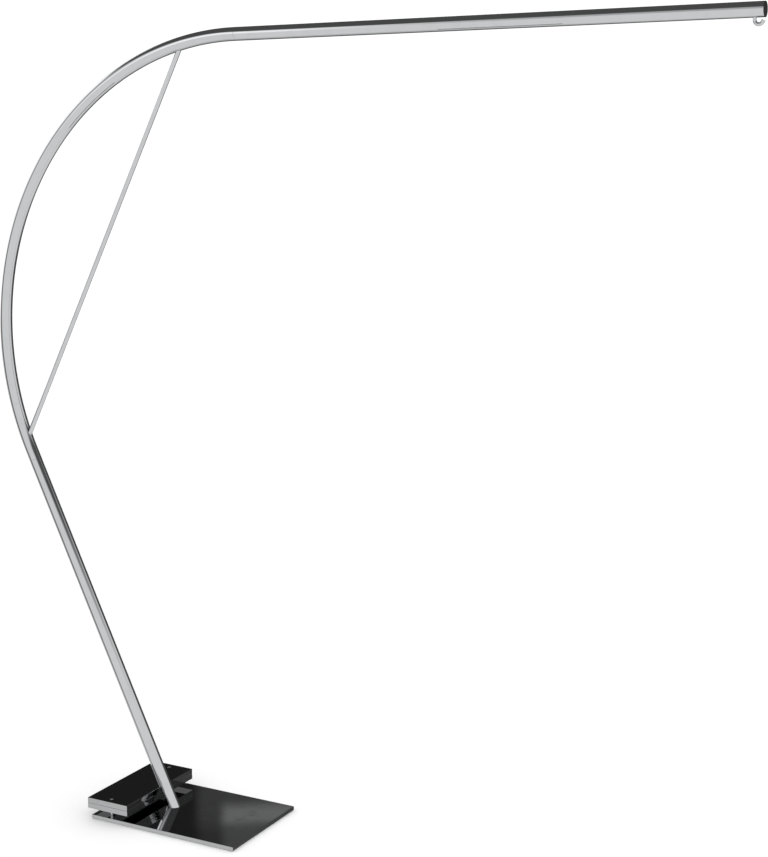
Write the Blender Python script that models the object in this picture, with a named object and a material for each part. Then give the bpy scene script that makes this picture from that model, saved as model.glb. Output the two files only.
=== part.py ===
"""Cantilever hanging stand: weighted base plate, leaning pole, arched tube, level arm and swivel hook.

Metres, +Z up, +X from the pole towards the arm's tip, Y across the base. The stand is symmetric about
the X-Z plane. The origin is under the middle of the whole stand's box, on the floor.
"""
import math

import bmesh
import bpy
from mathutils import Matrix, Vector

# clearances
GAP = 0.0003
RUNNING_GAP = 0.0001

# tube sections: one round tube size throughout
TUBE_RADIUS = 0.019
TUBE_WALL = 0.0018
SPIGOT_GAP = 0.0004
SPIGOT_WALL = 0.004
POLE_LEAN = math.radians(25.5)
POLE_LENGTH = 1.165
ARC_TAIL = 0.036
ARC_RADIUS = 0.870
ARC_HEAD = 0.006
ARM_LENGTH = 1.487

# base plate and its pads
PAD_RADIUS = 0.014
PAD_HEIGHT = 0.0017
PAD_INSET = 0.030
PLATE_LENGTH = 0.515
PLATE_WIDTH = 0.345
PLATE_THICKNESS = 0.012
PLATE_CORNER = 0.0015

# ballast slabs, posts and their screws
SLAB_LENGTH = 0.148
SLAB_THICKNESS = 0.0165
SLAB_BEHIND_POLE = 0.0035
SLAB_CORNER = 0.0006
POST_RADIUS = 0.005
POST_HEIGHT = 0.0184
POST_BORE_DEPTH = 0.0085
POST_END_INSET = 0.0225
M6_RADIUS = 0.003
M6_HEAD_RADIUS = 0.0055
M6_SOCKET_RADIUS = 0.002

# pole foot
FOOT_FROM_REAR = 0.183
POLE_SPIGOT_LENGTH = 0.115
POLE_BOLT_RADIUS = 0.005
POLE_BOLT_HEAD_RADIUS = 0.0095
POLE_BOLT_DEPTH = 0.024
POLE_BOLT_SETBACK = 0.006
POLE_SCREW_HEIGHT = 0.095

# grub screws in the tube joints
GRUB_RADIUS = 0.0025
GRUB_RECESS = 0.0004
GRUB_LENGTH = 0.0055
GRUB_HOLE_PAST = 0.0015
LOWER_SPIGOT_IN_POLE = 0.070
LOWER_SPIGOT_IN_ARC = 0.034
LOWER_GRUB_FROM_SEAM = 0.027
UPPER_SPIGOT_IN_ARM = 0.070
UPPER_GRUB_FROM_SEAM = 0.027

# tie rod: its ends are given as angles on the arc, seen from the arc's centre
ROD_RADIUS = 0.007
ROD_LOW_ANGLE = math.radians(202.1)
ROD_HIGH_ANGLE = math.radians(103.1)
STUD_RADIUS = 0.003
STUD_IN_ROD = 0.020
STUD_IN_TUBE = 0.006

# hook, its carrier and nut, and the end plug
HOOK_FROM_END = 0.0248
HOOK_WIRE_RADIUS = 0.0047
HOOK_SHANK_RADIUS = 0.004
HOOK_DROP = 0.0050
HOOK_BEND_RADIUS = 0.0105
HOOK_BEND_ANGLE = math.radians(155)
HOOK_TIP_LENGTH = 0.004
HOOK_HOLE_GAP = 0.0005
CARRIER_LENGTH = 0.030
CARRIER_FLOOR = 0.004
CARRIER_SCREW_INBOARD = 0.010
NUT_ACROSS_FLATS = 0.013
NUT_HEIGHT = 0.0065
NUT_POCKET_RADIUS = 0.009
SHANK_ABOVE_NUT = 0.002
PLUG_HEAD = 0.0006
PLUG_DOME = 0.0003
PLUG_STEM = 0.008

# how finely round shapes are divided
ROUND = 24
ROUND_SMALL = 16
ARC_STEPS = 38
HOOK_STEPS = 12

# worked out from the sizes above
TUBE_BORE = TUBE_RADIUS - TUBE_WALL
SPIGOT_RADIUS = TUBE_BORE - SPIGOT_GAP
ARC_TURN = math.pi / 2 + POLE_LEAN
ARC_STEP = ARC_TURN / ARC_STEPS
PLATE_BOTTOM = PAD_HEIGHT + GAP
PLATE_TOP = PLATE_BOTTOM + PLATE_THICKNESS
SLAB_LOWER_BOTTOM = PLATE_TOP + GAP + POST_HEIGHT + GAP
SLAB_UPPER_BOTTOM = SLAB_LOWER_BOTTOM + SLAB_THICKNESS + GAP
SLAB_TOP = SLAB_UPPER_BOTTOM + SLAB_THICKNESS
POST_Y = PLATE_WIDTH / 2 - POST_END_INSET

# the tubes' centreline, first measured from the foot of the pole along X
POLE_UP = Vector((-math.sin(POLE_LEAN), 0, math.cos(POLE_LEAN)))
POLE_FRONT = Vector((math.cos(POLE_LEAN), 0, math.sin(POLE_LEAN)))
ARC_CENTRE_FROM_FOOT = POLE_UP * (POLE_LENGTH + ARC_TAIL) + POLE_FRONT * ARC_RADIUS
BACK_FROM_FOOT = ARC_CENTRE_FROM_FOOT.x - ARC_RADIUS - TUBE_RADIUS
TIP_FROM_FOOT = ARC_CENTRE_FROM_FOOT.x + ARC_HEAD + ARM_LENGTH + GAP + PLUG_HEAD + PLUG_DOME
FOOT = Vector((-(BACK_FROM_FOOT + TIP_FROM_FOOT) / 2, 0, PLATE_TOP))
SEAM_LOWER = FOOT + POLE_UP * POLE_LENGTH
ARC_START = SEAM_LOWER + POLE_UP * ARC_TAIL
ARC_CENTRE = FOOT + ARC_CENTRE_FROM_FOOT
ARC_END = ARC_CENTRE + Vector((0, 0, ARC_RADIUS))
SEAM_UPPER = ARC_END + Vector((ARC_HEAD, 0, 0))
ARM_START = SEAM_UPPER + Vector((GAP, 0, 0))
ARM_END = SEAM_UPPER + Vector((ARM_LENGTH, 0, 0))
PLATE_REAR = FOOT.x - FOOT_FROM_REAR
POLE_BACK_AT_SLAB_TOP = (SLAB_TOP - PLATE_TOP) * math.tan(POLE_LEAN) + TUBE_RADIUS / math.cos(POLE_LEAN)
SLAB_X = FOOT.x - POLE_BACK_AT_SLAB_TOP - SLAB_BEHIND_POLE - SLAB_LENGTH / 2
HOOK_X = ARM_END.x - HOOK_FROM_END
ARM_Z = ARM_END.z


def clear_scene():
    for item in list(bpy.data.objects):
        bpy.data.objects.remove(item, do_unlink=True)


def material(name, colour, metallic, roughness):
    found = bpy.data.materials.get(name)
    if found:
        return found
    made = bpy.data.materials.new(name)
    made.use_nodes = True
    shader = made.node_tree.nodes["Principled BSDF"]
    shader.inputs["Base Color"].default_value = (*colour, 1)
    shader.inputs["Metallic"].default_value = metallic
    shader.inputs["Roughness"].default_value = roughness
    return made


def chrome():
    return material("polished_chrome", (0.72, 0.73, 0.75), 1, 0.05)


def mirror_steel():
    return material("mirror_steel", (0.62, 0.63, 0.65), 1, 0.06)


def plain_steel():
    return material("plain_steel", (0.45, 0.45, 0.46), 1, 0.35)


def black_plastic():
    return material("black_plastic", (0.02, 0.02, 0.022), 0, 0.35)


def black_rubber():
    return material("black_rubber", (0.03, 0.03, 0.03), 0, 0.8)


def add_object(name, bm, made_of):
    """Close off a bmesh as a named object with outward faces and smooth round sides."""
    bmesh.ops.remove_doubles(bm, verts=bm.verts, dist=0.000001)
    bmesh.ops.recalc_face_normals(bm, faces=bm.faces)
    mesh = bpy.data.meshes.new(name)
    bm.to_mesh(mesh)
    bm.free()
    mesh.shade_smooth()
    mesh.set_sharp_from_angle(angle=math.radians(35))
    item = bpy.data.objects.new(name, mesh)
    bpy.context.scene.collection.objects.link(item)
    if made_of:
        mesh.materials.append(made_of)
    return item


def cut(item, cutter):
    """Take the cutter's shape out of an object, and keep the cutter as a hidden guide."""
    cutter.hide_render = True
    cutter.display_type = "WIRE"
    modifier = item.modifiers.new(cutter.name, "BOOLEAN")
    modifier.operation = "DIFFERENCE"
    modifier.solver = "EXACT"
    modifier.object = cutter


def section_at(point, direction):
    """A placement whose Z runs along direction and whose Y is the stand's own Y."""
    z_axis = direction.normalized()
    y_axis = Vector((0, 1, 0))
    x_axis = y_axis.cross(z_axis)
    turned_to = Matrix((x_axis, y_axis, z_axis)).transposed()
    return Matrix.Translation(point) @ turned_to.to_4x4()


def round_section(bm, point, direction, outer, inner=0, segments=ROUND):
    """A flat disc, or a flat ring where there is a bore, at right angles to direction."""
    place = section_at(point, direction)
    if not inner:
        bmesh.ops.create_circle(bm, cap_ends=True, segments=segments, radius=outer, matrix=place)
        return bm.faces[:]
    bmesh.ops.create_circle(bm, segments=segments, radius=outer, matrix=place)
    bmesh.ops.create_circle(bm, segments=segments, radius=inner, matrix=place)
    return bmesh.ops.bridge_loops(bm, edges=bm.edges)["faces"]


def open_inside(bm, faces):
    """Delete end faces that a longer body has left inside itself."""
    inner = [face for face in faces if any(len(edge.link_faces) > 2 for edge in face.edges)]
    bmesh.ops.delete(bm, geom=inner, context="FACES")


def push(bm, faces, travel):
    """Extrude faces straight along travel and return the moved end faces."""
    grown = bmesh.ops.extrude_face_region(bm, geom=faces)["geom"]
    moved = [part for part in grown if isinstance(part, bmesh.types.BMVert)]
    bmesh.ops.translate(bm, verts=moved, vec=travel)
    open_inside(bm, faces)
    return [part for part in grown if isinstance(part, bmesh.types.BMFace)]


def bend(bm, faces, centre, axis, angle, steps):
    """Sweep faces round a centre and return the end faces."""
    swept = bmesh.ops.spin(bm, geom=faces, cent=centre, axis=axis, angle=angle, steps=steps)
    open_inside(bm, faces)
    return [part for part in swept["geom_last"] if isinstance(part, bmesh.types.BMFace)]


def round_bar(name, start, end, radius, made_of=None, bore=0, segments=ROUND):
    """A straight round bar or tube between two points in the X-Z plane."""
    bm = bmesh.new()
    faces = round_section(bm, start, end - start, radius, bore, segments)
    push(bm, faces, end - start)
    return add_object(name, bm, made_of)


def level_foot(item, height):
    """Slide a leaning bar's lowest ring along the bar so that it ends level at a height."""
    lowest = [v for v in item.data.vertices if (v.co - FOOT).dot(POLE_UP) < TUBE_RADIUS]
    for vertex in lowest:
        vertex.co += POLE_UP * ((height - vertex.co.z) / POLE_UP.z)


def turned(name, place, profile, made_of, segments=ROUND):
    """Revolve a profile of (radius, height) points round its own Z and put it in place."""
    bm = bmesh.new()
    points = [bm.verts.new((radius, 0, height)) for radius, height in profile]
    edges = [bm.edges.new(pair) for pair in zip(points, points[1:])]
    bmesh.ops.spin(bm, geom=points + edges, cent=(0, 0, 0), axis=(0, 0, 1), angle=math.tau,
                   steps=segments, use_merge=True)
    item = add_object(name, bm, made_of)
    item.matrix_world = place
    return item


def box(name, centre, size, corner, made_of):
    """A rectangular block with slightly broken edges."""
    bm = bmesh.new()
    bmesh.ops.create_cube(bm, size=1, matrix=Matrix.Diagonal((*size, 1)))
    bmesh.ops.bevel(bm, geom=bm.edges[:], offset=corner, segments=1, profile=0.5, affect="EDGES",
                    material=-1)
    item = add_object(name, bm, made_of)
    item.location = centre
    return item


def flat_head_screw(name, top, facing, head, shank, length, socket):
    """A countersunk screw whose flat head ends at top and whose shank runs away from facing."""
    rim = 0.0004
    profile = [(0, -2 * rim - socket), (socket, -2 * rim - socket), (socket, 0), (head, 0), (head, -rim),
               (shank, -rim - head + shank), (shank, -length), (0, -length)]
    return turned(name, section_at(top, facing), profile, plain_steel(), ROUND_SMALL)


def flat_head_hole(name, top, facing, head, shank, length):
    """The cutter for that screw, one clearance larger all round."""
    rim = 0.0004
    profile = [(0, GAP), (head + GAP, GAP), (head + GAP, -rim - GAP), (shank + GAP, -rim - GAP - head + shank),
               (shank + GAP, -length), (0, -length)]
    return turned(name, section_at(top, facing), profile, None, ROUND_SMALL)


def base_plate():
    centre = Vector((PLATE_REAR + PLATE_LENGTH / 2, 0, PLATE_BOTTOM + PLATE_THICKNESS / 2))
    size = (PLATE_LENGTH, PLATE_WIDTH, PLATE_THICKNESS)
    return box("base_plate", centre, size, PLATE_CORNER, mirror_steel())


def foot_pads():
    for end, x in (("rear", PLATE_REAR + PAD_INSET), ("front", PLATE_REAR + PLATE_LENGTH - PAD_INSET)):
        for side, sign in (("left", 1), ("right", -1)):
            y = sign * (PLATE_WIDTH / 2 - PAD_INSET)
            round_bar(f"foot_pad_{end}_{side}", Vector((x, y, 0)), Vector((x, y, PAD_HEIGHT)), PAD_RADIUS,
                      black_rubber())


def ballast(plate):
    """Two slabs, clamped to two posts by screws from above; the posts are screwed on from below."""
    slabs = []
    for level, bottom in (("lower", SLAB_LOWER_BOTTOM), ("upper", SLAB_UPPER_BOTTOM)):
        centre = Vector((SLAB_X, 0, bottom + SLAB_THICKNESS / 2))
        size = (SLAB_LENGTH, PLATE_WIDTH, SLAB_THICKNESS)
        slabs.append(box(f"ballast_slab_{level}", centre, size, SLAB_CORNER, mirror_steel()))
    for side, sign in (("left", 1), ("right", -1)):
        ballast_post(side, Vector((SLAB_X, sign * POST_Y, 0)), plate, slabs)


def ballast_post(side, axis, plate, slabs):
    up = Vector((0, 0, 1))
    bore = M6_RADIUS + GAP
    profile = [(0, POST_BORE_DEPTH), (bore, POST_BORE_DEPTH), (bore, 0), (POST_RADIUS, 0),
               (POST_RADIUS, POST_HEIGHT), (bore, POST_HEIGHT), (bore, POST_HEIGHT - POST_BORE_DEPTH),
               (0, POST_HEIGHT - POST_BORE_DEPTH)]
    foot = axis + up * (PLATE_TOP + GAP)
    turned(f"ballast_post_{side}", section_at(foot, up), profile, chrome())

    grip = POST_BORE_DEPTH - 2 * GAP
    top = axis + up * SLAB_TOP
    clamped = SLAB_TOP - SLAB_LOWER_BOTTOM + GAP
    flat_head_screw(f"ballast_screw_{side}", top, up, M6_HEAD_RADIUS, M6_RADIUS, clamped + grip,
                    M6_SOCKET_RADIUS)
    hole = flat_head_hole(f"ballast_hole_{side}", top, up, M6_HEAD_RADIUS, M6_RADIUS, clamped + grip)
    for slab in slabs:
        cut(slab, hole)

    under = axis + up * PLATE_BOTTOM
    flat_head_screw(f"post_bolt_{side}", under, -up, M6_HEAD_RADIUS, M6_RADIUS,
                    PLATE_THICKNESS + GAP + grip, M6_SOCKET_RADIUS)
    cut(plate, flat_head_hole(f"post_bolt_hole_{side}", under, -up, M6_HEAD_RADIUS, M6_RADIUS,
                              PLATE_THICKNESS + grip))


def grub_screw(name, seat, facing, cut_pieces):
    """A headless screw just under a tube's surface, facing out, with its hole through the pieces."""
    top = seat + facing * (TUBE_RADIUS - GRUB_RECESS)
    socket = GRUB_RADIUS * 0.5
    profile = [(0, -socket), (socket, -socket), (socket, 0), (GRUB_RADIUS, 0), (GRUB_RADIUS, -GRUB_LENGTH),
               (0, -GRUB_LENGTH)]
    turned(name, section_at(top, facing), profile, plain_steel(), ROUND_SMALL)
    hole_end = top - facing * (GRUB_LENGTH + GRUB_HOLE_PAST)
    hole = round_bar(f"{name}_hole", hole_end, seat + facing * (TUBE_RADIUS + GAP), GRUB_RADIUS + GAP,
                     segments=ROUND_SMALL)
    for piece in cut_pieces:
        cut(piece, hole)


def pole(plate):
    """The leaning tube, its spigot on the plate, and the bolt and grub screw that hold them."""
    start = FOOT + POLE_UP * GAP
    tube = round_bar("pole_tube", start, SEAM_LOWER, TUBE_RADIUS, chrome(), TUBE_BORE)
    level_foot(tube, PLATE_TOP + GAP)
    spigot = round_bar("pole_spigot", start, FOOT + POLE_UP * POLE_SPIGOT_LENGTH, SPIGOT_RADIUS,
                       plain_steel())
    level_foot(spigot, PLATE_TOP + GAP)

    down = Vector((0, 0, -1))
    under = Vector((FOOT.x - POLE_BOLT_SETBACK, 0, PLATE_BOTTOM))
    length = PLATE_THICKNESS + GAP + POLE_BOLT_DEPTH
    flat_head_screw("pole_bolt", under, down, POLE_BOLT_HEAD_RADIUS, POLE_BOLT_RADIUS, length,
                    POLE_BOLT_RADIUS * 0.6)
    hole = flat_head_hole("pole_bolt_hole", under, down, POLE_BOLT_HEAD_RADIUS, POLE_BOLT_RADIUS,
                          length + GAP)
    cut(plate, hole)
    cut(spigot, hole)
    grub_screw("pole_grub_screw", FOOT + POLE_UP * POLE_SCREW_HEIGHT, -POLE_FRONT, [tube, spigot])
    return tube


def arc():
    bm = bmesh.new()
    faces = round_section(bm, SEAM_LOWER + POLE_UP * GAP, POLE_UP, TUBE_RADIUS, TUBE_BORE)
    faces = push(bm, faces, POLE_UP * (ARC_TAIL - GAP))
    faces = bend(bm, faces, ARC_CENTRE, (0, 1, 0), ARC_TURN, ARC_STEPS)
    push(bm, faces, Vector((ARC_HEAD, 0, 0)))
    return add_object("arc_tube", bm, chrome())


def lower_joint(arc_tube):
    """A short tube inside the pole and the arc's straight tail, held by a grub screw at the front."""
    spigot = round_bar("lower_joint_spigot", SEAM_LOWER - POLE_UP * LOWER_SPIGOT_IN_POLE,
                       SEAM_LOWER + POLE_UP * LOWER_SPIGOT_IN_ARC, SPIGOT_RADIUS, plain_steel(),
                       SPIGOT_RADIUS - SPIGOT_WALL)
    seat = SEAM_LOWER + POLE_UP * LOWER_GRUB_FROM_SEAM
    grub_screw("lower_joint_screw", seat, POLE_FRONT, [arc_tube, spigot])


def arm():
    return round_bar("arm_tube", ARM_START, ARM_END, TUBE_RADIUS, chrome(), TUBE_BORE)


def upper_joint(arm_tube):
    """A spigot that follows the last of the arc's bend, then runs straight into the arm."""
    along = Vector((math.cos(ARC_STEP), 0, math.sin(ARC_STEP)))
    start = ARC_CENTRE + Vector((-along.z, 0, along.x)) * ARC_RADIUS
    bm = bmesh.new()
    faces = round_section(bm, start, along, SPIGOT_RADIUS, SPIGOT_RADIUS - SPIGOT_WALL)
    faces = bend(bm, faces, ARC_CENTRE, (0, 1, 0), ARC_STEP, 1)
    push(bm, faces, Vector((ARC_HEAD + UPPER_SPIGOT_IN_ARM, 0, 0)))
    spigot = add_object("upper_joint_spigot", bm, plain_steel())
    seat = SEAM_UPPER + Vector((UPPER_GRUB_FROM_SEAM, 0, 0))
    grub_screw("upper_joint_screw", seat, Vector((0, 0, -1)), [arm_tube, spigot])


def tie_rod(arc_tube):
    """A straight rod across the inside of the arc, coped to the tube and held by a stud at each end."""
    inner_side = ARC_RADIUS - TUBE_RADIUS
    middle_angle = (ROD_LOW_ANGLE + ROD_HIGH_ANGLE) / 2
    half_spread = (ROD_LOW_ANGLE - ROD_HIGH_ANGLE) / 2
    from_centre = inner_side * math.cos(half_spread)
    outward = Vector((math.cos(middle_angle), 0, math.sin(middle_angle)))
    upward = Vector((outward.z, 0, -outward.x))
    middle = ARC_CENTRE + outward * from_centre

    def reach(radius):
        return math.sqrt(radius**2 - from_centre**2)

    ends = reach(ARC_RADIUS)
    rod = round_bar("tie_rod", middle - upward * ends, middle + upward * ends, ROD_RADIUS, chrome())
    bm = bmesh.new()
    faces = round_section(bm, ARC_START, POLE_UP, TUBE_RADIUS + GAP)
    bend(bm, faces, ARC_CENTRE, (0, 1, 0), ARC_TURN, ARC_STEPS)
    cut(rod, add_object("arc_keep_out", bm, None))

    for level, sign in (("lower", -1), ("upper", 1)):
        in_rod = middle + upward * sign * (reach(inner_side) - STUD_IN_ROD)
        in_tube = middle + upward * sign * (reach(inner_side + TUBE_WALL) + STUD_IN_TUBE)
        round_bar(f"tie_rod_stud_{level}", in_rod, in_tube, STUD_RADIUS, plain_steel(), 0, ROUND_SMALL)
        hole = round_bar(f"stud_hole_{level}", in_rod - upward * sign * GAP, middle + upward * sign * ends,
                         STUD_RADIUS + GAP, None, 0, ROUND_SMALL)
        cut(rod, hole)
        cut(arc_tube, hole)


def hook_parts(arm_tube):
    """A block inside the arm carries the hook by a nut; the hook turns about its upright shank."""
    axis = Vector((HOOK_X, 0, ARM_Z))
    down = Vector((0, 0, -1))
    half = Vector((CARRIER_LENGTH / 2, 0, 0))
    carrier = round_bar("hook_carrier", axis - half, axis + half, SPIGOT_RADIUS, plain_steel())
    pocket_floor = axis + down * CARRIER_FLOOR
    cut(carrier, round_bar("nut_pocket", pocket_floor, axis - down * 2 * TUBE_RADIUS, NUT_POCKET_RADIUS))
    cut(carrier, round_bar("shank_hole", axis + down * 2 * TUBE_RADIUS, axis,
                           HOOK_SHANK_RADIUS + RUNNING_GAP))
    cut(arm_tube, round_bar("hook_hole", axis + down * 2 * TUBE_RADIUS, axis + down * HOOK_BEND_RADIUS,
                            HOOK_WIRE_RADIUS + HOOK_HOLE_GAP))
    seat = axis - Vector((CARRIER_SCREW_INBOARD, 0, 0))
    grub_screw("hook_carrier_screw", seat, down, [arm_tube, carrier])

    nut_bottom = pocket_floor - down * GAP
    shank_top = nut_bottom - down * (NUT_HEIGHT + SHANK_ABOVE_NUT)
    hook(shank_top)
    hook_nut(nut_bottom, shank_top)


def hook(shank_top):
    """A thin threaded shank, a step out to the full wire, a bend and a short flared tip."""
    down = Vector((0, 0, -1))
    step_depth = shank_top.z - ARM_Z + SPIGOT_RADIUS + GAP
    wire_drop = TUBE_RADIUS + HOOK_DROP - SPIGOT_RADIUS - GAP
    bm = bmesh.new()
    faces = round_section(bm, Vector(), down, HOOK_SHANK_RADIUS, 0, ROUND_SMALL)
    faces = push(bm, faces, down * step_depth)
    faces = push(bm, faces, Vector())
    rim = list({vertex for face in faces for vertex in face.verts})
    widen = HOOK_WIRE_RADIUS / HOOK_SHANK_RADIUS
    bmesh.ops.scale(bm, verts=rim, vec=(widen, widen, 1))
    faces = push(bm, faces, down * wire_drop)
    centre = Vector((HOOK_BEND_RADIUS, 0, -step_depth - wire_drop))
    faces = bend(bm, faces, centre, (0, -1, 0), HOOK_BEND_ANGLE, HOOK_STEPS)
    tip_way = Vector((math.sin(HOOK_BEND_ANGLE), 0, -math.cos(HOOK_BEND_ANGLE)))
    push(bm, faces, tip_way * HOOK_TIP_LENGTH)
    made = add_object("hook", bm, chrome())
    made.location = shank_top


def hook_nut(nut_bottom, shank_top):
    up = Vector((0, 0, 1))
    corner_radius = NUT_ACROSS_FLATS / 2 / math.cos(math.radians(30))
    nut = round_bar("hook_nut", nut_bottom, nut_bottom + up * NUT_HEIGHT, corner_radius, plain_steel(), 0, 6)
    cut(nut, round_bar("nut_bore", nut_bottom - up * NUT_HEIGHT, shank_top + up * NUT_HEIGHT,
                       HOOK_SHANK_RADIUS + GAP))


def end_plug():
    """A plastic plug whose stem fills the arm's end and whose low domed head covers it."""
    rise = [math.radians(90 * step / 6) for step in range(7)]
    dome = [(TUBE_RADIUS * math.cos(turn), GAP + PLUG_HEAD + PLUG_DOME * math.sin(turn)) for turn in rise[:-1]]
    profile = [(0, -PLUG_STEM), (SPIGOT_RADIUS, -PLUG_STEM), (SPIGOT_RADIUS, GAP), (TUBE_RADIUS, GAP)]
    profile += dome + [(0, GAP + PLUG_HEAD + PLUG_DOME)]
    turned("arm_end_plug", section_at(ARM_END, Vector((1, 0, 0))), profile, black_plastic())


def main():
    clear_scene()
    plate = base_plate()
    foot_pads()
    ballast(plate)
    pole(plate)
    arc_tube = arc()
    lower_joint(arc_tube)
    arm_tube = arm()
    upper_joint(arm_tube)
    tie_rod(arc_tube)
    hook_parts(arm_tube)
    end_plug()


main()
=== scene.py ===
import math

import bmesh
import bpy
from mathutils import Matrix, Vector


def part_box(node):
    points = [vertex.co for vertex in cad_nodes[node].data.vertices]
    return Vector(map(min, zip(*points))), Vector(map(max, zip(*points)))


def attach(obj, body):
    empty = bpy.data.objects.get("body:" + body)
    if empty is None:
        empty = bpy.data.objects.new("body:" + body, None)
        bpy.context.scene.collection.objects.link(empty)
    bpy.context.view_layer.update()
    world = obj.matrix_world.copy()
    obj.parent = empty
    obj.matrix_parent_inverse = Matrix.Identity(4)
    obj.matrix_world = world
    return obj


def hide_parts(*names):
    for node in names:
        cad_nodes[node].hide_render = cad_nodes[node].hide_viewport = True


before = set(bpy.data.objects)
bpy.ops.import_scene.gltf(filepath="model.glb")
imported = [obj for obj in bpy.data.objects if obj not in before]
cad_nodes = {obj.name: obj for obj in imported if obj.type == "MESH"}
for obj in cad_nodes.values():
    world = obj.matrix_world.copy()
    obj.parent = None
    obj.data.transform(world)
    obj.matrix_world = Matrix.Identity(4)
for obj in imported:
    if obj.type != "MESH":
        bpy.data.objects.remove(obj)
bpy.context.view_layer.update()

# BASE PLATE
# A heavy rectangle of steel plate, polished to a mirror and plated, with its edges broken by a small
# round. Three flat-head bolts come up through it from below, so its top face is unbroken.

PLATE_EDGE = 0.0008


def rounded_block(low, high, edge):
    """A solid block between two corners with every edge rounded."""
    bm = bmesh.new()
    size = [b - a for a, b in zip(low, high)]
    middle = [(a + b) / 2 for a, b in zip(low, high)]
    place = Matrix.Translation(middle) @ Matrix.Diagonal((*size, 1))
    bmesh.ops.create_cube(bm, size=1, matrix=place)
    bmesh.ops.bevel(bm, geom=bm.edges[:], offset=edge, segments=4, profile=0.5, affect="EDGES", material=-1)
    return bm


def along(point, direction):
    """A placement whose Z runs along direction and whose Y is the stand's own Y."""
    z_axis = Vector(direction).normalized()
    y_axis = Vector((0, 1, 0))
    turned_to = Matrix((y_axis.cross(z_axis), y_axis, z_axis)).transposed()
    return Matrix.Translation(point) @ turned_to.to_4x4()


def as_object(bm, name):
    """Close off a bmesh as a named object with outward faces."""
    bmesh.ops.remove_doubles(bm, verts=bm.verts, dist=0.000001)
    bmesh.ops.recalc_face_normals(bm, faces=bm.faces)
    mesh = bpy.data.meshes.new(name)
    bm.to_mesh(mesh)
    bm.free()
    item = bpy.data.objects.new(name, mesh)
    bpy.context.scene.collection.objects.link(item)
    return item


def turned(place, profile, segments=64):
    """A lathe-turned solid: a profile of (radius, height) points revolved about its own Z."""
    bm = bmesh.new()
    points = [bm.verts.new((radius, 0, height)) for radius, height in profile]
    edges = [bm.edges.new(pair) for pair in zip(points, points[1:])]
    bmesh.ops.spin(bm, geom=points + edges, cent=(0, 0, 0), axis=(0, 0, 1), angle=math.tau,
                   steps=segments, use_merge=True)
    bmesh.ops.transform(bm, matrix=place, verts=bm.verts)
    return bm


def round_cutter(start, end, radius, segments=64):
    """A drill's shape between two points."""
    length = (Vector(end) - Vector(start)).length
    profile = [(0, 0), (radius, 0), (radius, length), (0, length)]
    place = along(start, Vector(end) - Vector(start))
    return as_object(turned(place, profile, segments), "drill")


def countersink(top, facing, head, shank, depth):
    """The shape of a countersunk hole, a little larger than its screw."""
    profile = [(0, 0.0003), (head + 0.0003, 0.0003), (head + 0.0003, -0.0007),
               (shank + 0.0003, -0.0007 - head + shank), (shank + 0.0003, -depth), (0, -depth)]
    return as_object(turned(along(top, facing), profile), "countersink")


def bored(item, cutters):
    """Take the cutters' shapes out of an object for good."""
    for cutter in cutters:
        step = item.modifiers.new("bore", "BOOLEAN")
        step.operation = "DIFFERENCE"
        step.solver = "EXACT"
        step.object = cutter
    graph = bpy.context.evaluated_depsgraph_get()
    drilled = bpy.data.meshes.new_from_object(item.evaluated_get(graph))
    item.modifiers.clear()
    undrilled = item.data
    item.data = drilled
    bpy.data.meshes.remove(undrilled)
    drilled.name = item.name
    for cutter in cutters:
        bpy.data.objects.remove(cutter, do_unlink=True)


def fitted(item, finish, slot, body, *stands_for):
    """Smooth the rounds, give the finish, and hang the piece on its body in place of its CAD nodes."""
    item.data.shade_smooth()
    item.data.set_sharp_from_angle(angle=math.radians(40))
    even = item.modifiers.new("even_shading", "WEIGHTED_NORMAL")
    even.keep_sharp = True
    item.data.materials.clear()
    item.data.materials.append(finish)
    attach(item, body)
    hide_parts(*stands_for)


def new_group(name, inputs, outputs):
    """An empty shader node group with number inputs and typed outputs."""
    group = bpy.data.node_groups.new(name, "ShaderNodeTree")
    for label, value in inputs:
        socket = group.interface.new_socket(label, in_out="INPUT", socket_type="NodeSocketFloat")
        socket.default_value = value
    for label in outputs:
        group.interface.new_socket(label, in_out="OUTPUT", socket_type="NodeSocketFloat")
    return group, group.nodes.new("NodeGroupInput"), group.nodes.new("NodeGroupOutput")


def noise(tree, scale, detail, roughness=0.55):
    """A noise pattern that stays fixed to the object."""
    place = tree.nodes.new("ShaderNodeTexCoord")
    pattern = tree.nodes.new("ShaderNodeTexNoise")
    pattern.inputs["Scale"].default_value = scale
    pattern.inputs["Detail"].default_value = detail
    pattern.inputs["Roughness"].default_value = roughness
    tree.links.new(place.outputs["Object"], pattern.inputs["Vector"])
    return pattern


def sum_node(tree, operation, first, second):
    """A Math node on two links or plain numbers."""
    node = tree.nodes.new("ShaderNodeMath")
    node.operation = operation
    for socket, value in zip(node.inputs, (first, second)):
        if isinstance(value, (int, float)):
            socket.default_value = value
        else:
            tree.links.new(value, socket)
    return node.outputs[0]


def ranged(tree, value, low, high, to_low, to_high):
    """A smooth step of value from one range to another."""
    node = tree.nodes.new("ShaderNodeMapRange")
    node.interpolation_type = "SMOOTHSTEP"
    for label, number in (("From Min", low), ("From Max", high), ("To Min", to_low), ("To Max", to_high)):
        if isinstance(number, (int, float)):
            node.inputs[label].default_value = number
        else:
            tree.links.new(number, node.inputs[label])
    tree.links.new(value, node.inputs["Value"])
    return node.outputs["Result"]


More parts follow.
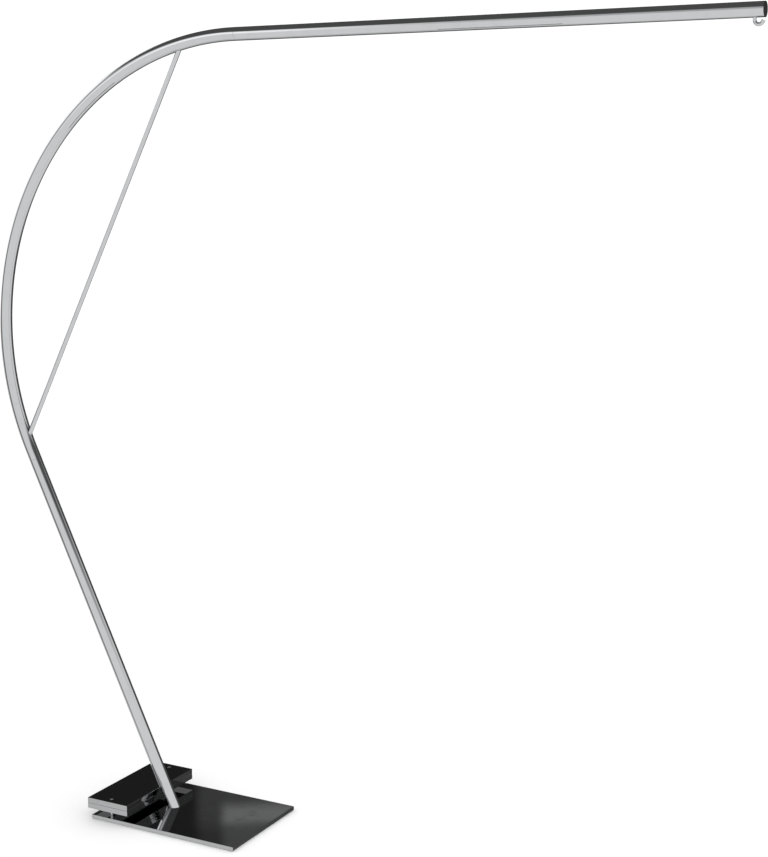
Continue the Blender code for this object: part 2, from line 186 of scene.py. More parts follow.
def polish_group():
    """Buffed metal: a faint haze in patches, hair-fine scuffs, and a very slow ripple of the surface."""
    group, given, result = new_group(
        "buffed_polish",
        (("Haze Scale", 30.0), ("Scuff Scale", 900.0), ("Clear Roughness", 0.02), ("Hazy Roughness", 0.06)),
        ("Haze", "Roughness", "Ripple"))
    haze = noise(group, 30, 4)
    group.links.new(given.outputs["Haze Scale"], haze.inputs["Scale"])
    scuff = noise(group, 900, 2, 0.7)
    group.links.new(given.outputs["Scuff Scale"], scuff.inputs["Scale"])
    patches = ranged(group, haze.outputs["Fac"], 0.42, 0.70, 0.0, 1.0)
    marks = ranged(group, scuff.outputs["Fac"], 0.60, 0.78, 0.0, 1.0)
    patch_share = sum_node(group, "MULTIPLY", patches, 0.7)
    mark_share = sum_node(group, "MULTIPLY", marks, 0.3)
    both = sum_node(group, "ADD", patch_share, mark_share)
    group.links.new(both, result.inputs["Haze"])
    rough = ranged(group, both, 0.0, 1.0, given.outputs["Clear Roughness"], given.outputs["Hazy Roughness"])
    group.links.new(rough, result.inputs["Roughness"])
    ripple = noise(group, 9, 1)
    group.links.new(ripple.outputs["Fac"], result.inputs["Ripple"])
    return group


def dust_group():
    """Settled dust: specks and a thin film that lie only on faces that look up."""
    group, given, result = new_group("settled_dust", (("Amount", 0.05), ("Speck Scale", 260.0)), ("Dust",))
    surface = group.nodes.new("ShaderNodeNewGeometry")
    facing = group.nodes.new("ShaderNodeSeparateXYZ")
    group.links.new(surface.outputs["Normal"], facing.inputs[0])
    upward = ranged(group, facing.outputs["Z"], 0.35, 0.95, 0.0, 1.0)
    speck = noise(group, 260, 3, 0.6)
    group.links.new(given.outputs["Speck Scale"], speck.inputs["Scale"])
    specks = ranged(group, speck.outputs["Fac"], 0.52, 0.80, 0.25, 1.0)
    lying = sum_node(group, "MULTIPLY", upward, specks)
    group.links.new(sum_node(group, "MULTIPLY", lying, given.outputs["Amount"]), result.inputs["Dust"])
    return group


BUFFED_POLISH = polish_group()
SETTLED_DUST = dust_group()


def placed(tree, group, **values):
    """A group's node with its own input values; underscores stand for spaces."""
    node = tree.nodes.new("ShaderNodeGroup")
    node.node_tree = group
    for label, value in values.items():
        node.inputs[label.replace("_", " ")].default_value = value
    return node


def blended(tree, mask, first, second):
    """Colour first where the mask is 0 and second where it is 1."""
    node = tree.nodes.new("ShaderNodeMix")
    node.data_type = "RGBA"
    tree.links.new(mask, node.inputs["Factor"])
    for socket, colour in ((node.inputs[6], first), (node.inputs[7], second)):
        if isinstance(colour, tuple):
            socket.default_value = (*colour, 1)
        else:
            tree.links.new(colour, socket)
    return node.outputs[2]


def bumped(tree, height, depth, strength=1.0):
    """A Bump node whose height runs over a depth in metres."""
    node = tree.nodes.new("ShaderNodeBump")
    node.inputs["Strength"].default_value = strength
    node.inputs["Distance"].default_value = depth
    tree.links.new(height, node.inputs["Height"])
    return node.outputs["Normal"]


def finish_named(name, metallic):
    """A new material, its node tree and its Principled shader."""
    made = bpy.data.materials.new(name)
    made.use_nodes = True
    shader = made.node_tree.nodes["Principled BSDF"]
    shader.inputs["Metallic"].default_value = metallic
    return made, made.node_tree, shader


DUST_COLOUR = (0.62, 0.60, 0.57)
DUST_DULLNESS = 0.6


def polished_metal(name, clear, hazy, clear_roughness, hazy_roughness, haze_scale, dust, ripple):
    """A bright metal finish with patches of haze, fine scuffs, a slow ripple and a little dust."""
    made, tree, shader = finish_named(name, 1)
    polish = placed(tree, BUFFED_POLISH, Haze_Scale=haze_scale, Clear_Roughness=clear_roughness,
                    Hazy_Roughness=hazy_roughness)
    film = placed(tree, SETTLED_DUST, Amount=dust)
    metal = blended(tree, polish.outputs["Haze"], clear, hazy)
    dusty = blended(tree, film.outputs["Dust"], metal, DUST_COLOUR)
    tree.links.new(dusty, shader.inputs["Base Color"])
    dulled = sum_node(tree, "MULTIPLY", film.outputs["Dust"], DUST_DULLNESS)
    rough = sum_node(tree, "ADD", polish.outputs["Roughness"], dulled)
    tree.links.new(rough, shader.inputs["Roughness"])
    tree.links.new(bumped(tree, polish.outputs["Ripple"], ripple), shader.inputs["Normal"])
    return made


MIRROR_STEEL = polished_metal(
    "mirror_steel_finish", clear=(0.425, 0.43, 0.435), hazy=(0.40, 0.40, 0.40),
    clear_roughness=0.025, hazy_roughness=0.06, haze_scale=22, dust=0.012, ripple=0.00002)

plate_low, plate_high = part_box("base_plate")
plate = as_object(rounded_block(plate_low, plate_high, PLATE_EDGE), "polished_plate")
M6_HEAD = 0.0055
M6_SHANK = 0.003
M10_HEAD = 0.0095
M10_SHANK = 0.005
UNDER_BOLTS = (
    ("post_bolt_left", M6_HEAD, M6_SHANK),
    ("post_bolt_right", M6_HEAD, M6_SHANK),
    ("pole_bolt", M10_HEAD, M10_SHANK))
THROUGH_PLATE = 0.02


def middle_of(node):
    """The middle of a CAD node's box."""
    low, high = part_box(node)
    return (Vector(low) + Vector(high)) / 2


under_holes = []
for node, head, shank in UNDER_BOLTS:
    centre = middle_of(node)
    under = Vector((centre.x, centre.y, plate_low[2]))
    under_holes.append(countersink(under, (0, 0, -1), head, shank, THROUGH_PLATE))
bored(plate, under_holes)
fitted(plate, MIRROR_STEEL, "mirror_steel", "stand", "base_plate")

# FOOT PADS
# Four thin discs of black rubber, punched from sheet and stuck under the plate's corners. The punch
# leaves a slightly rounded rim, and the face has the fine grain of the sheet.

PAD_RIM = 0.0004


def grain_group():
    """A moulded or calendered grain: small soft bumps with finer pits between them."""
    group, given, result = new_group("moulded_grain", (("Grain Scale", 1500.0),), ("Height", "Shade"))
    coarse = noise(group, 1500, 3, 0.6)
    group.links.new(given.outputs["Grain Scale"], coarse.inputs["Scale"])
    group.links.new(coarse.outputs["Fac"], result.inputs["Height"])
    patch = noise(group, 45, 3)
    group.links.new(ranged(group, patch.outputs["Fac"], 0.35, 0.65, 0.0, 1.0), result.inputs["Shade"])
    return group


MOULDED_GRAIN = grain_group()


def black_polymer(name, dark, light, smooth, dull, grain_scale, grain_depth):
    """Black plastic or rubber with a moulded grain, uneven gloss and a little dust."""
    made, tree, shader = finish_named(name, 0)
    grain = placed(tree, MOULDED_GRAIN, Grain_Scale=grain_scale)
    film = placed(tree, SETTLED_DUST, Amount=0.06)
    body = blended(tree, grain.outputs["Shade"], dark, light)
    tree.links.new(blended(tree, film.outputs["Dust"], body, DUST_COLOUR), shader.inputs["Base Color"])
    tree.links.new(ranged(tree, grain.outputs["Shade"], 0.0, 1.0, smooth, dull), shader.inputs["Roughness"])
    tree.links.new(bumped(tree, grain.outputs["Height"], grain_depth, 0.6), shader.inputs["Normal"])
    return made


BLACK_RUBBER = black_polymer(
    "black_rubber_finish", dark=(0.016, 0.016, 0.016), light=(0.028, 0.028, 0.028),
    smooth=0.7, dull=0.9, grain_scale=1800, grain_depth=0.00004)

for end in ("rear", "front"):
    for side in ("left", "right"):
        low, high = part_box(f"foot_pad_{end}_{side}")
        radius = (high[0] - low[0]) / 2
        height = high[2] - low[2]
        profile = [(0, 0), (radius - PAD_RIM, 0), (radius - PAD_RIM * 0.3, PAD_RIM * 0.3), (radius, PAD_RIM),
                   (radius, height - PAD_RIM), (radius - PAD_RIM * 0.3, height - PAD_RIM * 0.3),
                   (radius - PAD_RIM, height), (0, height)]
        centre = middle_of(f"foot_pad_{end}_{side}")
        standing = Matrix.Translation((centre.x, centre.y, low[2]))
        pad = as_object(turned(standing, profile), f"rubber_foot_{end}_{side}")
        fitted(pad, BLACK_RUBBER, "black_rubber", "stand", f"foot_pad_{end}_{side}")

# BALLAST POSTS AND THE BOLTS UNDER THE PLATE
# Two short turned posts hold the ballast clear of the plate. Each is drilled and tapped from both ends;
# a flat-head bolt pulls it down from under the plate. The bolts are plain turned steel with hex sockets.

POLISHED_CHROME = polished_metal(
    "polished_chrome_finish", clear=(0.575, 0.585, 0.595), hazy=(0.55, 0.555, 0.56),
    clear_roughness=0.02, hazy_roughness=0.045, haze_scale=26, dust=0.015, ripple=0.00002)
PLAIN_STEEL = polished_metal(
    "plain_steel_finish", clear=(0.66, 0.66, 0.66), hazy=(0.52, 0.515, 0.51),
    clear_roughness=0.42, hazy_roughness=0.58, haze_scale=160, dust=0.03, ripple=0.00001)

POST_BORE = 0.0033
POST_BORE_DEPTH = 0.0085
SHOULDER = 0.0003
SOCKET_RISE = 0.0002
HEAD_RIM = 0.0004
HEAD_BREAK = 0.0001


def hex_socket(top, facing, across_flats, depth):
    """The cutter for a hexagonal socket sunk into a screw's head."""
    bm = bmesh.new()
    outward = Vector(facing)
    place = along(Vector(top) + outward * SOCKET_RISE, -outward)
    corner_radius = across_flats / math.sqrt(3)
    bmesh.ops.create_circle(bm, cap_ends=True, segments=6, radius=corner_radius, matrix=place)
    grown = bmesh.ops.extrude_face_region(bm, geom=bm.faces[:])
    ends = [part for part in grown["geom"] if isinstance(part, bmesh.types.BMVert)]
    bmesh.ops.translate(bm, verts=ends, vec=outward * -(depth + SOCKET_RISE))
    return as_object(bm, "socket")


def flat_head(name, top, facing, head, shank, length, across_flats):
    """A countersunk screw with a hexagonal socket, its flat head ending at top."""
    profile = [(0, 0), (head - HEAD_BREAK, 0), (head, -HEAD_BREAK), (head, -HEAD_RIM),
               (shank, -HEAD_RIM - head + shank),
               (shank, -length + SHOULDER), (shank - SHOULDER, -length), (0, -length)]
    screw = as_object(turned(along(top, facing), profile), name)
    bored(screw, [hex_socket(top, facing, across_flats, head * 0.42)])
    return screw


for side in ("left", "right"):
    low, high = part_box(f"ballast_post_{side}")
    radius = (high[1] - low[1]) / 2
    height = high[2] - low[2]
    profile = [(0, POST_BORE_DEPTH), (POST_BORE, POST_BORE_DEPTH), (POST_BORE, 0), (radius - SHOULDER, 0),
               (radius, SHOULDER), (radius, height - SHOULDER), (radius - SHOULDER, height),
               (POST_BORE, height), (POST_BORE, height - POST_BORE_DEPTH), (0, height - POST_BORE_DEPTH)]
    centre = middle_of(f"ballast_post_{side}")
    standing = Matrix.Translation((centre.x, centre.y, low[2]))
    post = as_object(turned(standing, profile), f"turned_post_{side}")
    fitted(post, POLISHED_CHROME, "polished_chrome", "stand", f"ballast_post_{side}")

for node, head, shank in UNDER_BOLTS:
    low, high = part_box(node)
    centre = middle_of(node)
    bolt = flat_head(f"{node}_flat_head", Vector((centre.x, centre.y, low[2])), (0, 0, -1), head, shank,
                     high[2] - low[2], head * 0.72)
    fitted(bolt, PLAIN_STEEL, "plain_steel", "stand", node)

# BALLAST SLABS AND THEIR SCREWS
# Two bars of the same polished steel as the plate, stacked flat and clamped to the posts by one
# flat-head screw at each end. The screws sit flush in countersinks in the upper slab.

SLAB_EDGE = 0.0008
THROUGH_SLABS = 0.05
M6_HEX = 0.004

slab_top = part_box("ballast_slab_upper")[1][2]
for level in ("lower", "upper"):
    low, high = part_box(f"ballast_slab_{level}")
    slab = as_object(rounded_block(low, high, SLAB_EDGE), f"polished_slab_{level}")
    holes = []
    for side in ("left", "right"):
        centre = middle_of(f"ballast_screw_{side}")
        top = Vector((centre.x, centre.y, slab_top))
        holes.append(countersink(top, (0, 0, 1), M6_HEAD, M6_SHANK, THROUGH_SLABS))
    bored(slab, holes)
    fitted(slab, MIRROR_STEEL, "mirror_steel", "stand", f"ballast_slab_{level}")

for side in ("left", "right"):
    low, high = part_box(f"ballast_screw_{side}")
    centre = middle_of(f"ballast_screw_{side}")
    top = Vector((centre.x, centre.y, high[2]))
    length = high[2] - low[2]
    screw = flat_head(f"slab_screw_{side}", top, (0, 0, 1), M6_HEAD, M6_SHANK, length, M6_HEX)
    fitted(screw, PLAIN_STEEL, "plain_steel", "stand", f"ballast_screw_{side}")

# LEANING POLE
# The lowest length of the round tube, cut level where it stands on the plate and square at its top.
# A solid spigot, pulled down by the middle bolt, fills its foot; a grub screw at the back locks it.

GAP = 0.0003
TUBE_RADIUS = 0.019
TUBE_BORE = 0.0172
TUBE_ROUND = 96
TUBE_CHAMFER = 0.0003
POLE_LEAN = math.radians(25.5)
FOOT_FROM_REAR = 0.183
POLE_LENGTH = 1.165
POLE_UP = Vector((-math.sin(POLE_LEAN), 0, math.cos(POLE_LEAN)))
POLE_FRONT = Vector((math.cos(POLE_LEAN), 0, math.sin(POLE_LEAN)))
FOOT = Vector((plate_low[0] + FOOT_FROM_REAR, 0, plate_high[2]))
SEAM_LOWER = FOOT + POLE_UP * POLE_LENGTH
POLE_SCREW_HEIGHT = 0.095
GRUB_RADIUS = 0.0025
GRUB_LENGTH = 0.0055
GRUB_RECESS = 0.0004
GRUB_BREAK = 0.0002
GRUB_HEX = 0.0025
GRUB_SOCKET_DEPTH = 0.0014
SMALL_ROUND = 48
BELOW_FOOT = 0.02


def ring(bm, point, direction, outer, inner, segments):
    """A flat ring or disc of faces at right angles to direction."""
    place = along(point, direction)
    bmesh.ops.create_circle(bm, cap_ends=not inner, segments=segments, radius=outer, matrix=place)
    if not inner:
        return bm.faces[:]
    bmesh.ops.create_circle(bm, segments=segments, radius=inner, matrix=place)
    return bmesh.ops.bridge_loops(bm, edges=bm.edges[:])["faces"]


def open_inside(bm, faces):
    """Delete end faces that a longer body has left inside itself."""
    inner = [face for face in faces if any(len(edge.link_faces) > 2 for edge in face.edges)]
    bmesh.ops.delete(bm, geom=inner, context="FACES")


def push(bm, faces, travel):
    """Extrude end faces straight along travel and return the new end faces."""
    grown = bmesh.ops.extrude_face_region(bm, geom=faces)["geom"]
    moved = [part for part in grown if isinstance(part, bmesh.types.BMVert)]
    bmesh.ops.translate(bm, verts=moved, vec=travel)
    open_inside(bm, faces)
    return [part for part in grown if isinstance(part, bmesh.types.BMFace)]


def bend(bm, faces, centre, axis, angle, steps):
    """Sweep end faces round a centre and return the new end faces."""
    swept = bmesh.ops.spin(bm, geom=faces, cent=centre, axis=axis, angle=angle, steps=steps)
    open_inside(bm, faces)
    return [part for part in swept["geom_last"] if isinstance(part, bmesh.types.BMFace)]


def break_ends(bm, planes, size):
    """Chamfer the sharp edges that lie in the given end planes of a tube."""
    rims = []
    for edge in bm.edges:
        faces = edge.link_faces
        sharp = len(faces) == 2 and faces[0].normal.angle(faces[1].normal, 0) > math.radians(40)
        for point, way in planes:
            in_plane = all(abs((vertex.co - point).dot(way)) < 0.00001 for vertex in edge.verts)
            if sharp and in_plane:
                rims.append(edge)
    bmesh.ops.bevel(bm, geom=rims, offset=size, segments=2, profile=0.5, affect="EDGES", material=-1)


def grub(name, seat, facing, *stands_for):
    """A headless screw with a hexagonal socket, just under the tube's surface."""
    top = Vector(seat) + Vector(facing) * (TUBE_RADIUS - GRUB_RECESS)
    profile = [(0, 0), (GRUB_RADIUS - GRUB_BREAK, 0), (GRUB_RADIUS, -GRUB_BREAK),
               (GRUB_RADIUS, -GRUB_LENGTH), (0, -GRUB_LENGTH)]
    screw = as_object(turned(along(top, facing), profile, SMALL_ROUND), name)
    bored(screw, [hex_socket(top, facing, GRUB_HEX, GRUB_SOCKET_DEPTH)])
    fitted(screw, PLAIN_STEEL, "plain_steel", "stand", *stands_for)


def grub_hole(seat, facing):
    """The drill for a grub screw's hole."""
    start = Vector(seat) + Vector(facing) * (TUBE_BORE - 0.004)
    end = Vector(seat) + Vector(facing) * (TUBE_RADIUS + 0.001)
    return round_cutter(start, end, GRUB_RADIUS + GAP, SMALL_ROUND)


bm = bmesh.new()
faces = ring(bm, FOOT - POLE_UP * BELOW_FOOT, POLE_UP, TUBE_RADIUS, TUBE_BORE, TUBE_ROUND)
push(bm, faces, POLE_UP * (POLE_LENGTH + BELOW_FOOT))
foot_height = plate_high[2] + GAP
below = bmesh.ops.bisect_plane(bm, geom=bm.verts[:] + bm.edges[:] + bm.faces[:], plane_co=(0, 0, foot_height),
                               plane_no=(0, 0, 1), clear_inner=True)
foot_rims = [part for part in below["geom_cut"] if isinstance(part, bmesh.types.BMEdge)]
bmesh.ops.bridge_loops(bm, edges=foot_rims)
bmesh.ops.recalc_face_normals(bm, faces=bm.faces)
break_ends(bm, [(SEAM_LOWER, POLE_UP), (Vector((0, 0, foot_height)), Vector((0, 0, 1)))], TUBE_CHAMFER)
pole = as_object(bm, "leaning_pole")
POLE_SCREW_SEAT = FOOT + POLE_UP * POLE_SCREW_HEIGHT
bored(pole, [grub_hole(POLE_SCREW_SEAT, -POLE_FRONT)])
fitted(pole, POLISHED_CHROME, "polished_chrome", "stand", "pole_tube")
grub("pole_set_screw", POLE_SCREW_SEAT, -POLE_FRONT, "pole_grub_screw")


def refinish(finish, *nodes):
    """Give CAD nodes whose shape is right their finish."""
    for node in nodes:
        item = cad_nodes[node]
        item.data.materials.clear()
        item.data.materials.append(finish)


refinish(PLAIN_STEEL, "pole_spigot")

# CURVED TUBE AND ITS LOWER JOINT
# The middle length of tube: a short straight tail, then one long bend from the pole's lean round to
# level. A short sleeve inside the tail joins it to the pole, locked by a grub screw at the front.

ARC_TAIL = 0.036
ARC_RADIUS = 0.870
ARC_HEAD = 0.006
ARC_TURN = math.pi / 2 + POLE_LEAN
ARC_STEPS = 190
ARC_START = SEAM_LOWER + POLE_UP * ARC_TAIL
ARC_CENTRE = ARC_START + POLE_FRONT * ARC_RADIUS
SEAM_UPPER = ARC_CENTRE + Vector((ARC_HEAD, 0, ARC_RADIUS))
SCREW_FROM_SEAM = 0.027
LOWER_SCREW_SEAT = SEAM_LOWER + POLE_UP * SCREW_FROM_SEAM

ROD_LOW_ANGLE = math.radians(202.1)
ROD_HIGH_ANGLE = math.radians(103.1)
ROD_RADIUS = 0.007
STUD_HOLE = 0.0033
STUD_IN_ROD = 0.0203
ROD_SPREAD = (ROD_LOW_ANGLE - ROD_HIGH_ANGLE) / 2
ROD_MIDDLE = (ROD_LOW_ANGLE + ROD_HIGH_ANGLE) / 2
ROD_OUTWARD = Vector((math.cos(ROD_MIDDLE), 0, math.sin(ROD_MIDDLE)))
ROD_UPWARD = Vector((ROD_OUTWARD.z, 0, -ROD_OUTWARD.x))
ROD_FROM_CENTRE = (ARC_RADIUS - TUBE_RADIUS) * math.cos(ROD_SPREAD)
ROD_CENTRE = ARC_CENTRE + ROD_OUTWARD * ROD_FROM_CENTRE


def rod_reach(radius):
    """How far from the rod's middle its axis crosses a circle about the arc's centre."""
    return math.sqrt(radius ** 2 - ROD_FROM_CENTRE ** 2)


bm = bmesh.new()
faces = ring(bm, SEAM_LOWER + POLE_UP * GAP, POLE_UP, TUBE_RADIUS, TUBE_BORE, TUBE_ROUND)
faces = push(bm, faces, POLE_UP * (ARC_TAIL - GAP))
faces = bend(bm, faces, ARC_CENTRE, (0, 1, 0), ARC_TURN, ARC_STEPS)
push(bm, faces, Vector((ARC_HEAD, 0, 0)))
rearmost = min(vertex.co.x for vertex in bm.verts)
draw_in = (SEAM_UPPER.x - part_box("arc_tube")[0][0]) / (SEAM_UPPER.x - rearmost)
bmesh.ops.scale(bm, verts=bm.verts, vec=(draw_in, 1, 1), space=Matrix.Translation((-SEAM_UPPER.x, 0, 0)))
bmesh.ops.recalc_face_normals(bm, faces=bm.faces)
break_ends(bm, [(SEAM_LOWER + POLE_UP * GAP, POLE_UP), (SEAM_UPPER, Vector((1, 0, 0)))], TUBE_CHAMFER)
curve = as_object(bm, "curved_tube")
stud_holes = []
for sign in (-1, 1):
    inside = ROD_CENTRE + ROD_UPWARD * sign * rod_reach(ARC_RADIUS)
    outside = ROD_CENTRE + ROD_UPWARD * sign * (rod_reach(ARC_RADIUS - TUBE_RADIUS) - 0.01)
    stud_holes.append(round_cutter(outside, inside, STUD_HOLE, SMALL_ROUND))
bored(curve, [grub_hole(LOWER_SCREW_SEAT, POLE_FRONT)] + stud_holes)
fitted(curve, POLISHED_CHROME, "polished_chrome", "stand", "arc_tube")
grub("lower_set_screw", LOWER_SCREW_SEAT, POLE_FRONT, "lower_joint_screw")
refinish(PLAIN_STEEL, "lower_joint_spigot")

# TIE ROD
# A slim solid rod across the inside of the bend, like the string of a bow. Its ends are coped to the
# tube and each is held by a stud that passes through the tube's wall.

half_rod = rod_reach(ARC_RADIUS)
bm = bmesh.new()
faces = ring(bm, ROD_CENTRE - ROD_UPWARD * half_rod, ROD_UPWARD, ROD_RADIUS, 0, 64)
push(bm, faces, ROD_UPWARD * half_rod * 2)
rod = as_object(bm, "brace_rod")
bm = bmesh.new()
faces = ring(bm, ARC_START, POLE_UP, TUBE_RADIUS + GAP, 0, TUBE_ROUND)
bend(bm, faces, ARC_CENTRE, (0, 1, 0), ARC_TURN, ARC_STEPS)
copes = [as_object(bm, "cope")]
for sign in (-1, 1):
    inside = ROD_CENTRE + ROD_UPWARD * sign * (rod_reach(ARC_RADIUS - TUBE_RADIUS) - STUD_IN_ROD)
    outside = ROD_CENTRE + ROD_UPWARD * sign * half_rod * 1.01
    copes.append(round_cutter(inside, outside, STUD_HOLE, SMALL_ROUND))
bored(rod, copes)
fitted(rod, POLISHED_CHROME, "polished_chrome", "stand", "tie_rod")
refinish(PLAIN_STEEL, "tie_rod_stud_lower", "tie_rod_stud_upper")

# LEVEL ARM AND ITS UPPER JOINT
# The last length of tube, straight and level, pushed over the joint's sleeve and locked by a grub
# screw from below. Its underside is drilled for the hook's shank and for the carrier's screw.

ARM_START = SEAM_UPPER + Vector((GAP, 0, 0))
ARM_LENGTH = 1.487
ARM_END = SEAM_UPPER + Vector((ARM_LENGTH, 0, 0))
UPPER_SCREW_SEAT = SEAM_UPPER + Vector((SCREW_FROM_SEAM, 0, 0))
HOOK_FROM_END = 0.0248
HOOK_BEND = 0.0105
HOOK_HOLE_RADIUS = 0.0052
HOOK_AXIS = Vector((ARM_END.x - HOOK_FROM_END, 0, ARM_END.z))
CARRIER_SCREW_INBOARD = 0.010
CARRIER_SCREW_SEAT = HOOK_AXIS - Vector((CARRIER_SCREW_INBOARD, 0, 0))
DOWN = Vector((0, 0, -1))

bm = bmesh.new()
faces = ring(bm, ARM_START, (1, 0, 0), TUBE_RADIUS, TUBE_BORE, TUBE_ROUND)
push(bm, faces, ARM_END - ARM_START)
bmesh.ops.recalc_face_normals(bm, faces=bm.faces)
break_ends(bm, [(ARM_START, Vector((1, 0, 0))), (ARM_END, Vector((1, 0, 0)))], TUBE_CHAMFER)
arm = as_object(bm, "straight_arm")
below_arm = HOOK_AXIS + DOWN * 0.03
hook_hole = round_cutter(below_arm, HOOK_AXIS + DOWN * HOOK_BEND, HOOK_HOLE_RADIUS, SMALL_ROUND)
bored(arm, [grub_hole(UPPER_SCREW_SEAT, DOWN), grub_hole(CARRIER_SCREW_SEAT, DOWN), hook_hole])
fitted(arm, POLISHED_CHROME, "polished_chrome", "stand", "arm_tube")
grub("upper_set_screw", UPPER_SCREW_SEAT, DOWN, "upper_joint_screw")
refinish(PLAIN_STEEL, "upper_joint_spigot")

# HOOK AND ITS CARRIER
# A turned block inside the arm's end carries the hook by a nut, so that the hook turns freely. The
# hook is one bent wire: a thinner shank, a shoulder, a round bend and a short tip cut square.

HOOK_WIRE = 0.0047
HOOK_SHANK = 0.004
HOOK_SHOULDER = 0.0004
HOOK_DROP = 0.005
HOOK_TURN = math.radians(155)
HOOK_STEPS = 48
HOOK_TIP = 0.004
WIRE_EDGE = 0.0003

hook_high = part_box("hook")[1]
shank_top = Vector((HOOK_AXIS.x, 0, hook_high[2]))
shoulder_z = HOOK_AXIS.z - TUBE_BORE + 0.0001
bend_z = HOOK_AXIS.z - TUBE_RADIUS - HOOK_DROP
bm = bmesh.new()
faces = ring(bm, shank_top, DOWN, HOOK_SHANK, 0, SMALL_ROUND)
first_end = Vector((0, 0, shank_top.z))
faces = push(bm, faces, Vector((0, 0, shoulder_z - shank_top.z)))
faces = push(bm, faces, DOWN * HOOK_SHOULDER)
rim = list({vertex for face in faces for vertex in face.verts})
widen = HOOK_WIRE / HOOK_SHANK
bmesh.ops.scale(bm, verts=rim, vec=(widen, widen, 1), space=Matrix.Translation((-HOOK_AXIS.x, 0, 0)))
faces = push(bm, faces, Vector((0, 0, bend_z - shoulder_z + HOOK_SHOULDER)))
bend_centre = Vector((HOOK_AXIS.x + HOOK_BEND, 0, bend_z))
faces = bend(bm, faces, bend_centre, (0, -1, 0), HOOK_TURN, HOOK_STEPS)
tip_way = Vector((math.sin(HOOK_TURN), 0, -math.cos(HOOK_TURN)))
faces = push(bm, faces, tip_way * HOOK_TIP)
tip_end = faces[0].verts[0].co.copy()
bmesh.ops.recalc_face_normals(bm, faces=bm.faces)
break_ends(bm, [(first_end, DOWN), (tip_end, tip_way)], WIRE_EDGE)
hook = as_object(bm, "bent_hook")
fitted(hook, POLISHED_CHROME, "polished_chrome", "hook_swivel", "hook")
grub("carrier_set_screw", CARRIER_SCREW_SEAT, DOWN, "hook_carrier_screw")
refinish(PLAIN_STEEL, "hook_carrier", "hook_nut")

# END PLUG
# A black plastic plug pressed into the arm's end. Its stem fills the bore, and its thin, almost flat
# head covers the cut edge of the tube. The moulding has a fine satin grain.

BLACK_PLASTIC = black_polymer(
    "black_plastic_finish", dark=(0.008, 0.008, 0.009), light=(0.013, 0.013, 0.014),
    smooth=0.34, dull=0.46, grain_scale=2200, grain_depth=0.000015)
PLUG_STEM = 0.008
PLUG_STEM_RADIUS = 0.0168
PLUG_HEAD = 0.0006
PLUG_DOME = 0.0003
PLUG_RIM = 0.0001
PLUG_LEAD = 0.0005
DOME_STEPS = 24

profile = [(0, -PLUG_STEM), (PLUG_STEM_RADIUS - PLUG_LEAD, -PLUG_STEM),
           (PLUG_STEM_RADIUS, PLUG_LEAD - PLUG_STEM), (PLUG_STEM_RADIUS, GAP),
           (TUBE_RADIUS - PLUG_RIM, GAP), (TUBE_RADIUS, GAP + PLUG_RIM)]
for step in range(DOME_STEPS + 1):
    turn = math.radians(90 * step / DOME_STEPS)
    profile.append((TUBE_RADIUS * math.cos(turn), GAP + PLUG_HEAD + PLUG_DOME * math.sin(turn)))
profile[-1] = (0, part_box("arm_end_plug")[1][0] - ARM_END.x)
plug = as_object(turned(along(ARM_END, (1, 0, 0)), profile, TUBE_ROUND), "arm_plug")
fitted(plug, BLACK_PLASTIC, "black_plastic", "stand", "arm_end_plug")

# FLOOR, LIGHT AND CAMERA
# A plain pale floor under a soft white studio. The studio is white to the eye and to matt surfaces;
# bright metal mirrors a pale room with a dark ceiling, a dark rear, one soft box and a few screens.

bm = bmesh.new()
bmesh.ops.create_circle(bm, cap_ends=True, segments=128, radius=14)
floor = as_object(bm, "studio_floor")
floor_finish, tree, shader = finish_named("floor_paint", 0)
speckle = noise(tree, 180, 3)
tree.links.new(blended(tree, speckle.outputs["Fac"], (0.955, 0.955, 0.955), (0.975, 0.975, 0.975)),
               shader.inputs["Base Color"])
shader.inputs["Roughness"].default_value = 0.9
shader.inputs["Specular IOR Level"].default_value = 0.1
floor.data.materials.append(floor_finish)
floor.visible_glossy = False

world = bpy.data.worlds.new("soft_studio")
bpy.context.scene.world = world
world.use_nodes = True
tree = world.node_tree
sky = tree.nodes["Background"]
sky.inputs["Color"].default_value = (1, 1, 1, 1)
heading = tree.nodes.new("ShaderNodeTexCoord").outputs["Generated"]


def dotted(way):
    """How far the looking direction runs along a fixed way."""
    node = tree.nodes.new("ShaderNodeVectorMath")
    node.operation = "DOT_PRODUCT"
    node.inputs[1].default_value = way
    tree.links.new(heading, node.inputs[0])
    return node.outputs["Value"]


height = sum_node(tree, "ARCSINE", dotted((0, 0, 1)), 0)


def window(heading_degrees, half_width, low, high, soft):
    """A soft-edged panel of the studio: 1 inside, 0 outside. Headings run from -Y towards +X."""
    turn = math.radians(heading_degrees)
    ahead = dotted((math.sin(turn), -math.cos(turn), 0))
    aside = dotted((math.cos(turn), math.sin(turn), 0))
    off = sum_node(tree, "ABSOLUTE", sum_node(tree, "ARCTAN2", aside, ahead), 0)
    edge = math.radians(soft) / 2
    wide = ranged(tree, off, math.radians(half_width) - edge, math.radians(half_width) + edge, 1.0, 0.0)
    above = ranged(tree, height, math.radians(low) - edge, math.radians(low) + edge, 0.0, 1.0)
    under = ranged(tree, height, math.radians(high) - edge, math.radians(high) + edge, 1.0, 0.0)
    return sum_node(tree, "MULTIPLY", wide, sum_node(tree, "MULTIPLY", above, under))


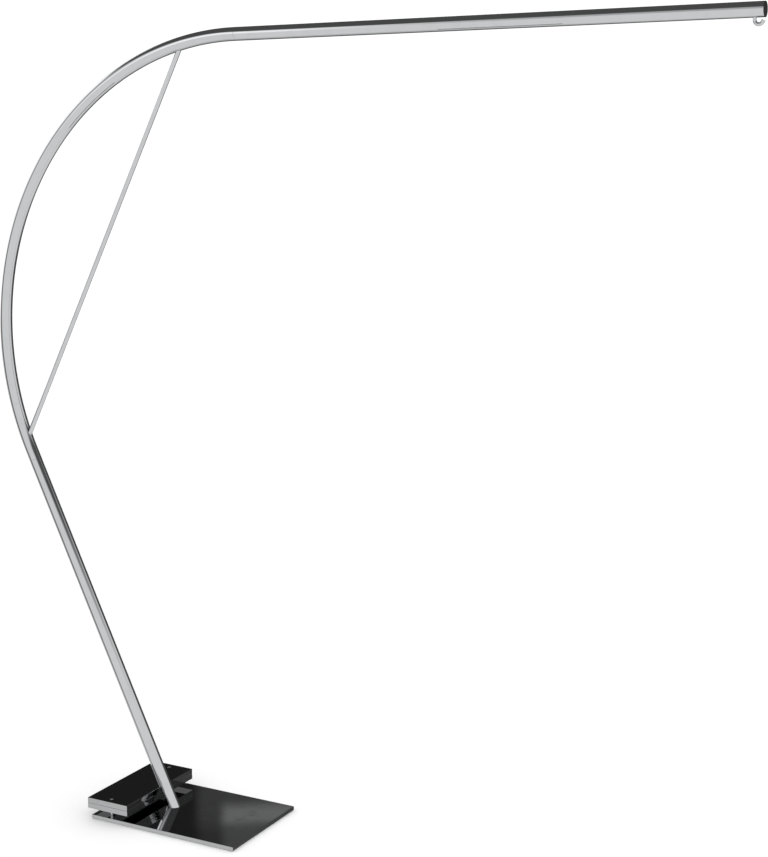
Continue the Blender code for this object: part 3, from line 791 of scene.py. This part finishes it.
def lit(before, mask, level):
    """The studio's level so far, changed to level inside the mask."""
    node = tree.nodes.new("ShaderNodeMix")
    tree.links.new(mask, node.inputs["Factor"])
    for socket, value in ((node.inputs[2], before), (node.inputs[3], level)):
        if isinstance(value, (int, float)):
            socket.default_value = value
        else:
            tree.links.new(value, socket)
    return node.outputs[0]


level = 0.98
ceiling = ranged(tree, height, math.radians(21.5), math.radians(31), 0.0, 1.0)
level = lit(level, ceiling, 0.10)
low_left_shade = window(-66, 22, -28, 6, 14)
level = lit(level, low_left_shade, 0.27)
left_screen = window(-62, 10, 2, 27, 10)
level = lit(level, left_screen, 0.50)
soft_box = window(-107, 30, -4, 30, 6)
level = lit(level, soft_box, 1.55)
narrow_lamp = window(-36, 6, 0, 20, 8)
level = lit(level, narrow_lamp, 1.5)
front_screen = window(-18, 10, 8, 30, 14)
level = lit(level, front_screen, 0.60)
rear_left_floor = window(-150, 45, -62, -30, 20)
level = lit(level, rear_left_floor, 0.55)
rear = window(176, 44, -32, 40, 22)
level = lit(level, rear, 0.09)
rear_left = window(-150, 22, -42, 40, 8)
level = lit(level, rear_left, 0.05)
glow_under_ballast = window(-142.5, 5, -24.5, -20.5, 1)
level = lit(level, glow_under_ballast, 0.35)
over_ballast = window(-139.4, 5.6, 19, 40, 0.6)
level = lit(level, over_ballast, 0.022)
over_plate = window(-150, 5.0, 21.4, 23.2, 0.5)
level = lit(level, over_plate, 0.078)
plate_sheen = window(-150, 4.1, 22.5, 23.2, 0.5)
level = lit(level, plate_sheen, 0.25)
plate_front = window(-150, 4.1, 23.2, 24.4, 0.5)
level = lit(level, plate_front, 0.108)

WHITE_LEVEL = 1.08
rays = tree.nodes.new("ShaderNodeLightPath")
tree.links.new(lit(WHITE_LEVEL, rays.outputs["Is Glossy Ray"], level), sky.inputs["Strength"])

camera_data = bpy.data.cameras.new("camera")
camera_data.lens = 66.71
camera_data.sensor_width = 36
camera_data.clip_end = 100
camera = bpy.data.objects.new("camera", camera_data)
camera.location = FOOT + Vector((2.777985, -3.83347, 1.95365))
camera.rotation_euler = (math.radians(80.7444), 0, math.radians(27.9879))
bpy.context.scene.collection.objects.link(camera)
bpy.context.scene.camera = camera
bpy.context.scene.view_settings.view_transform = "Standard"
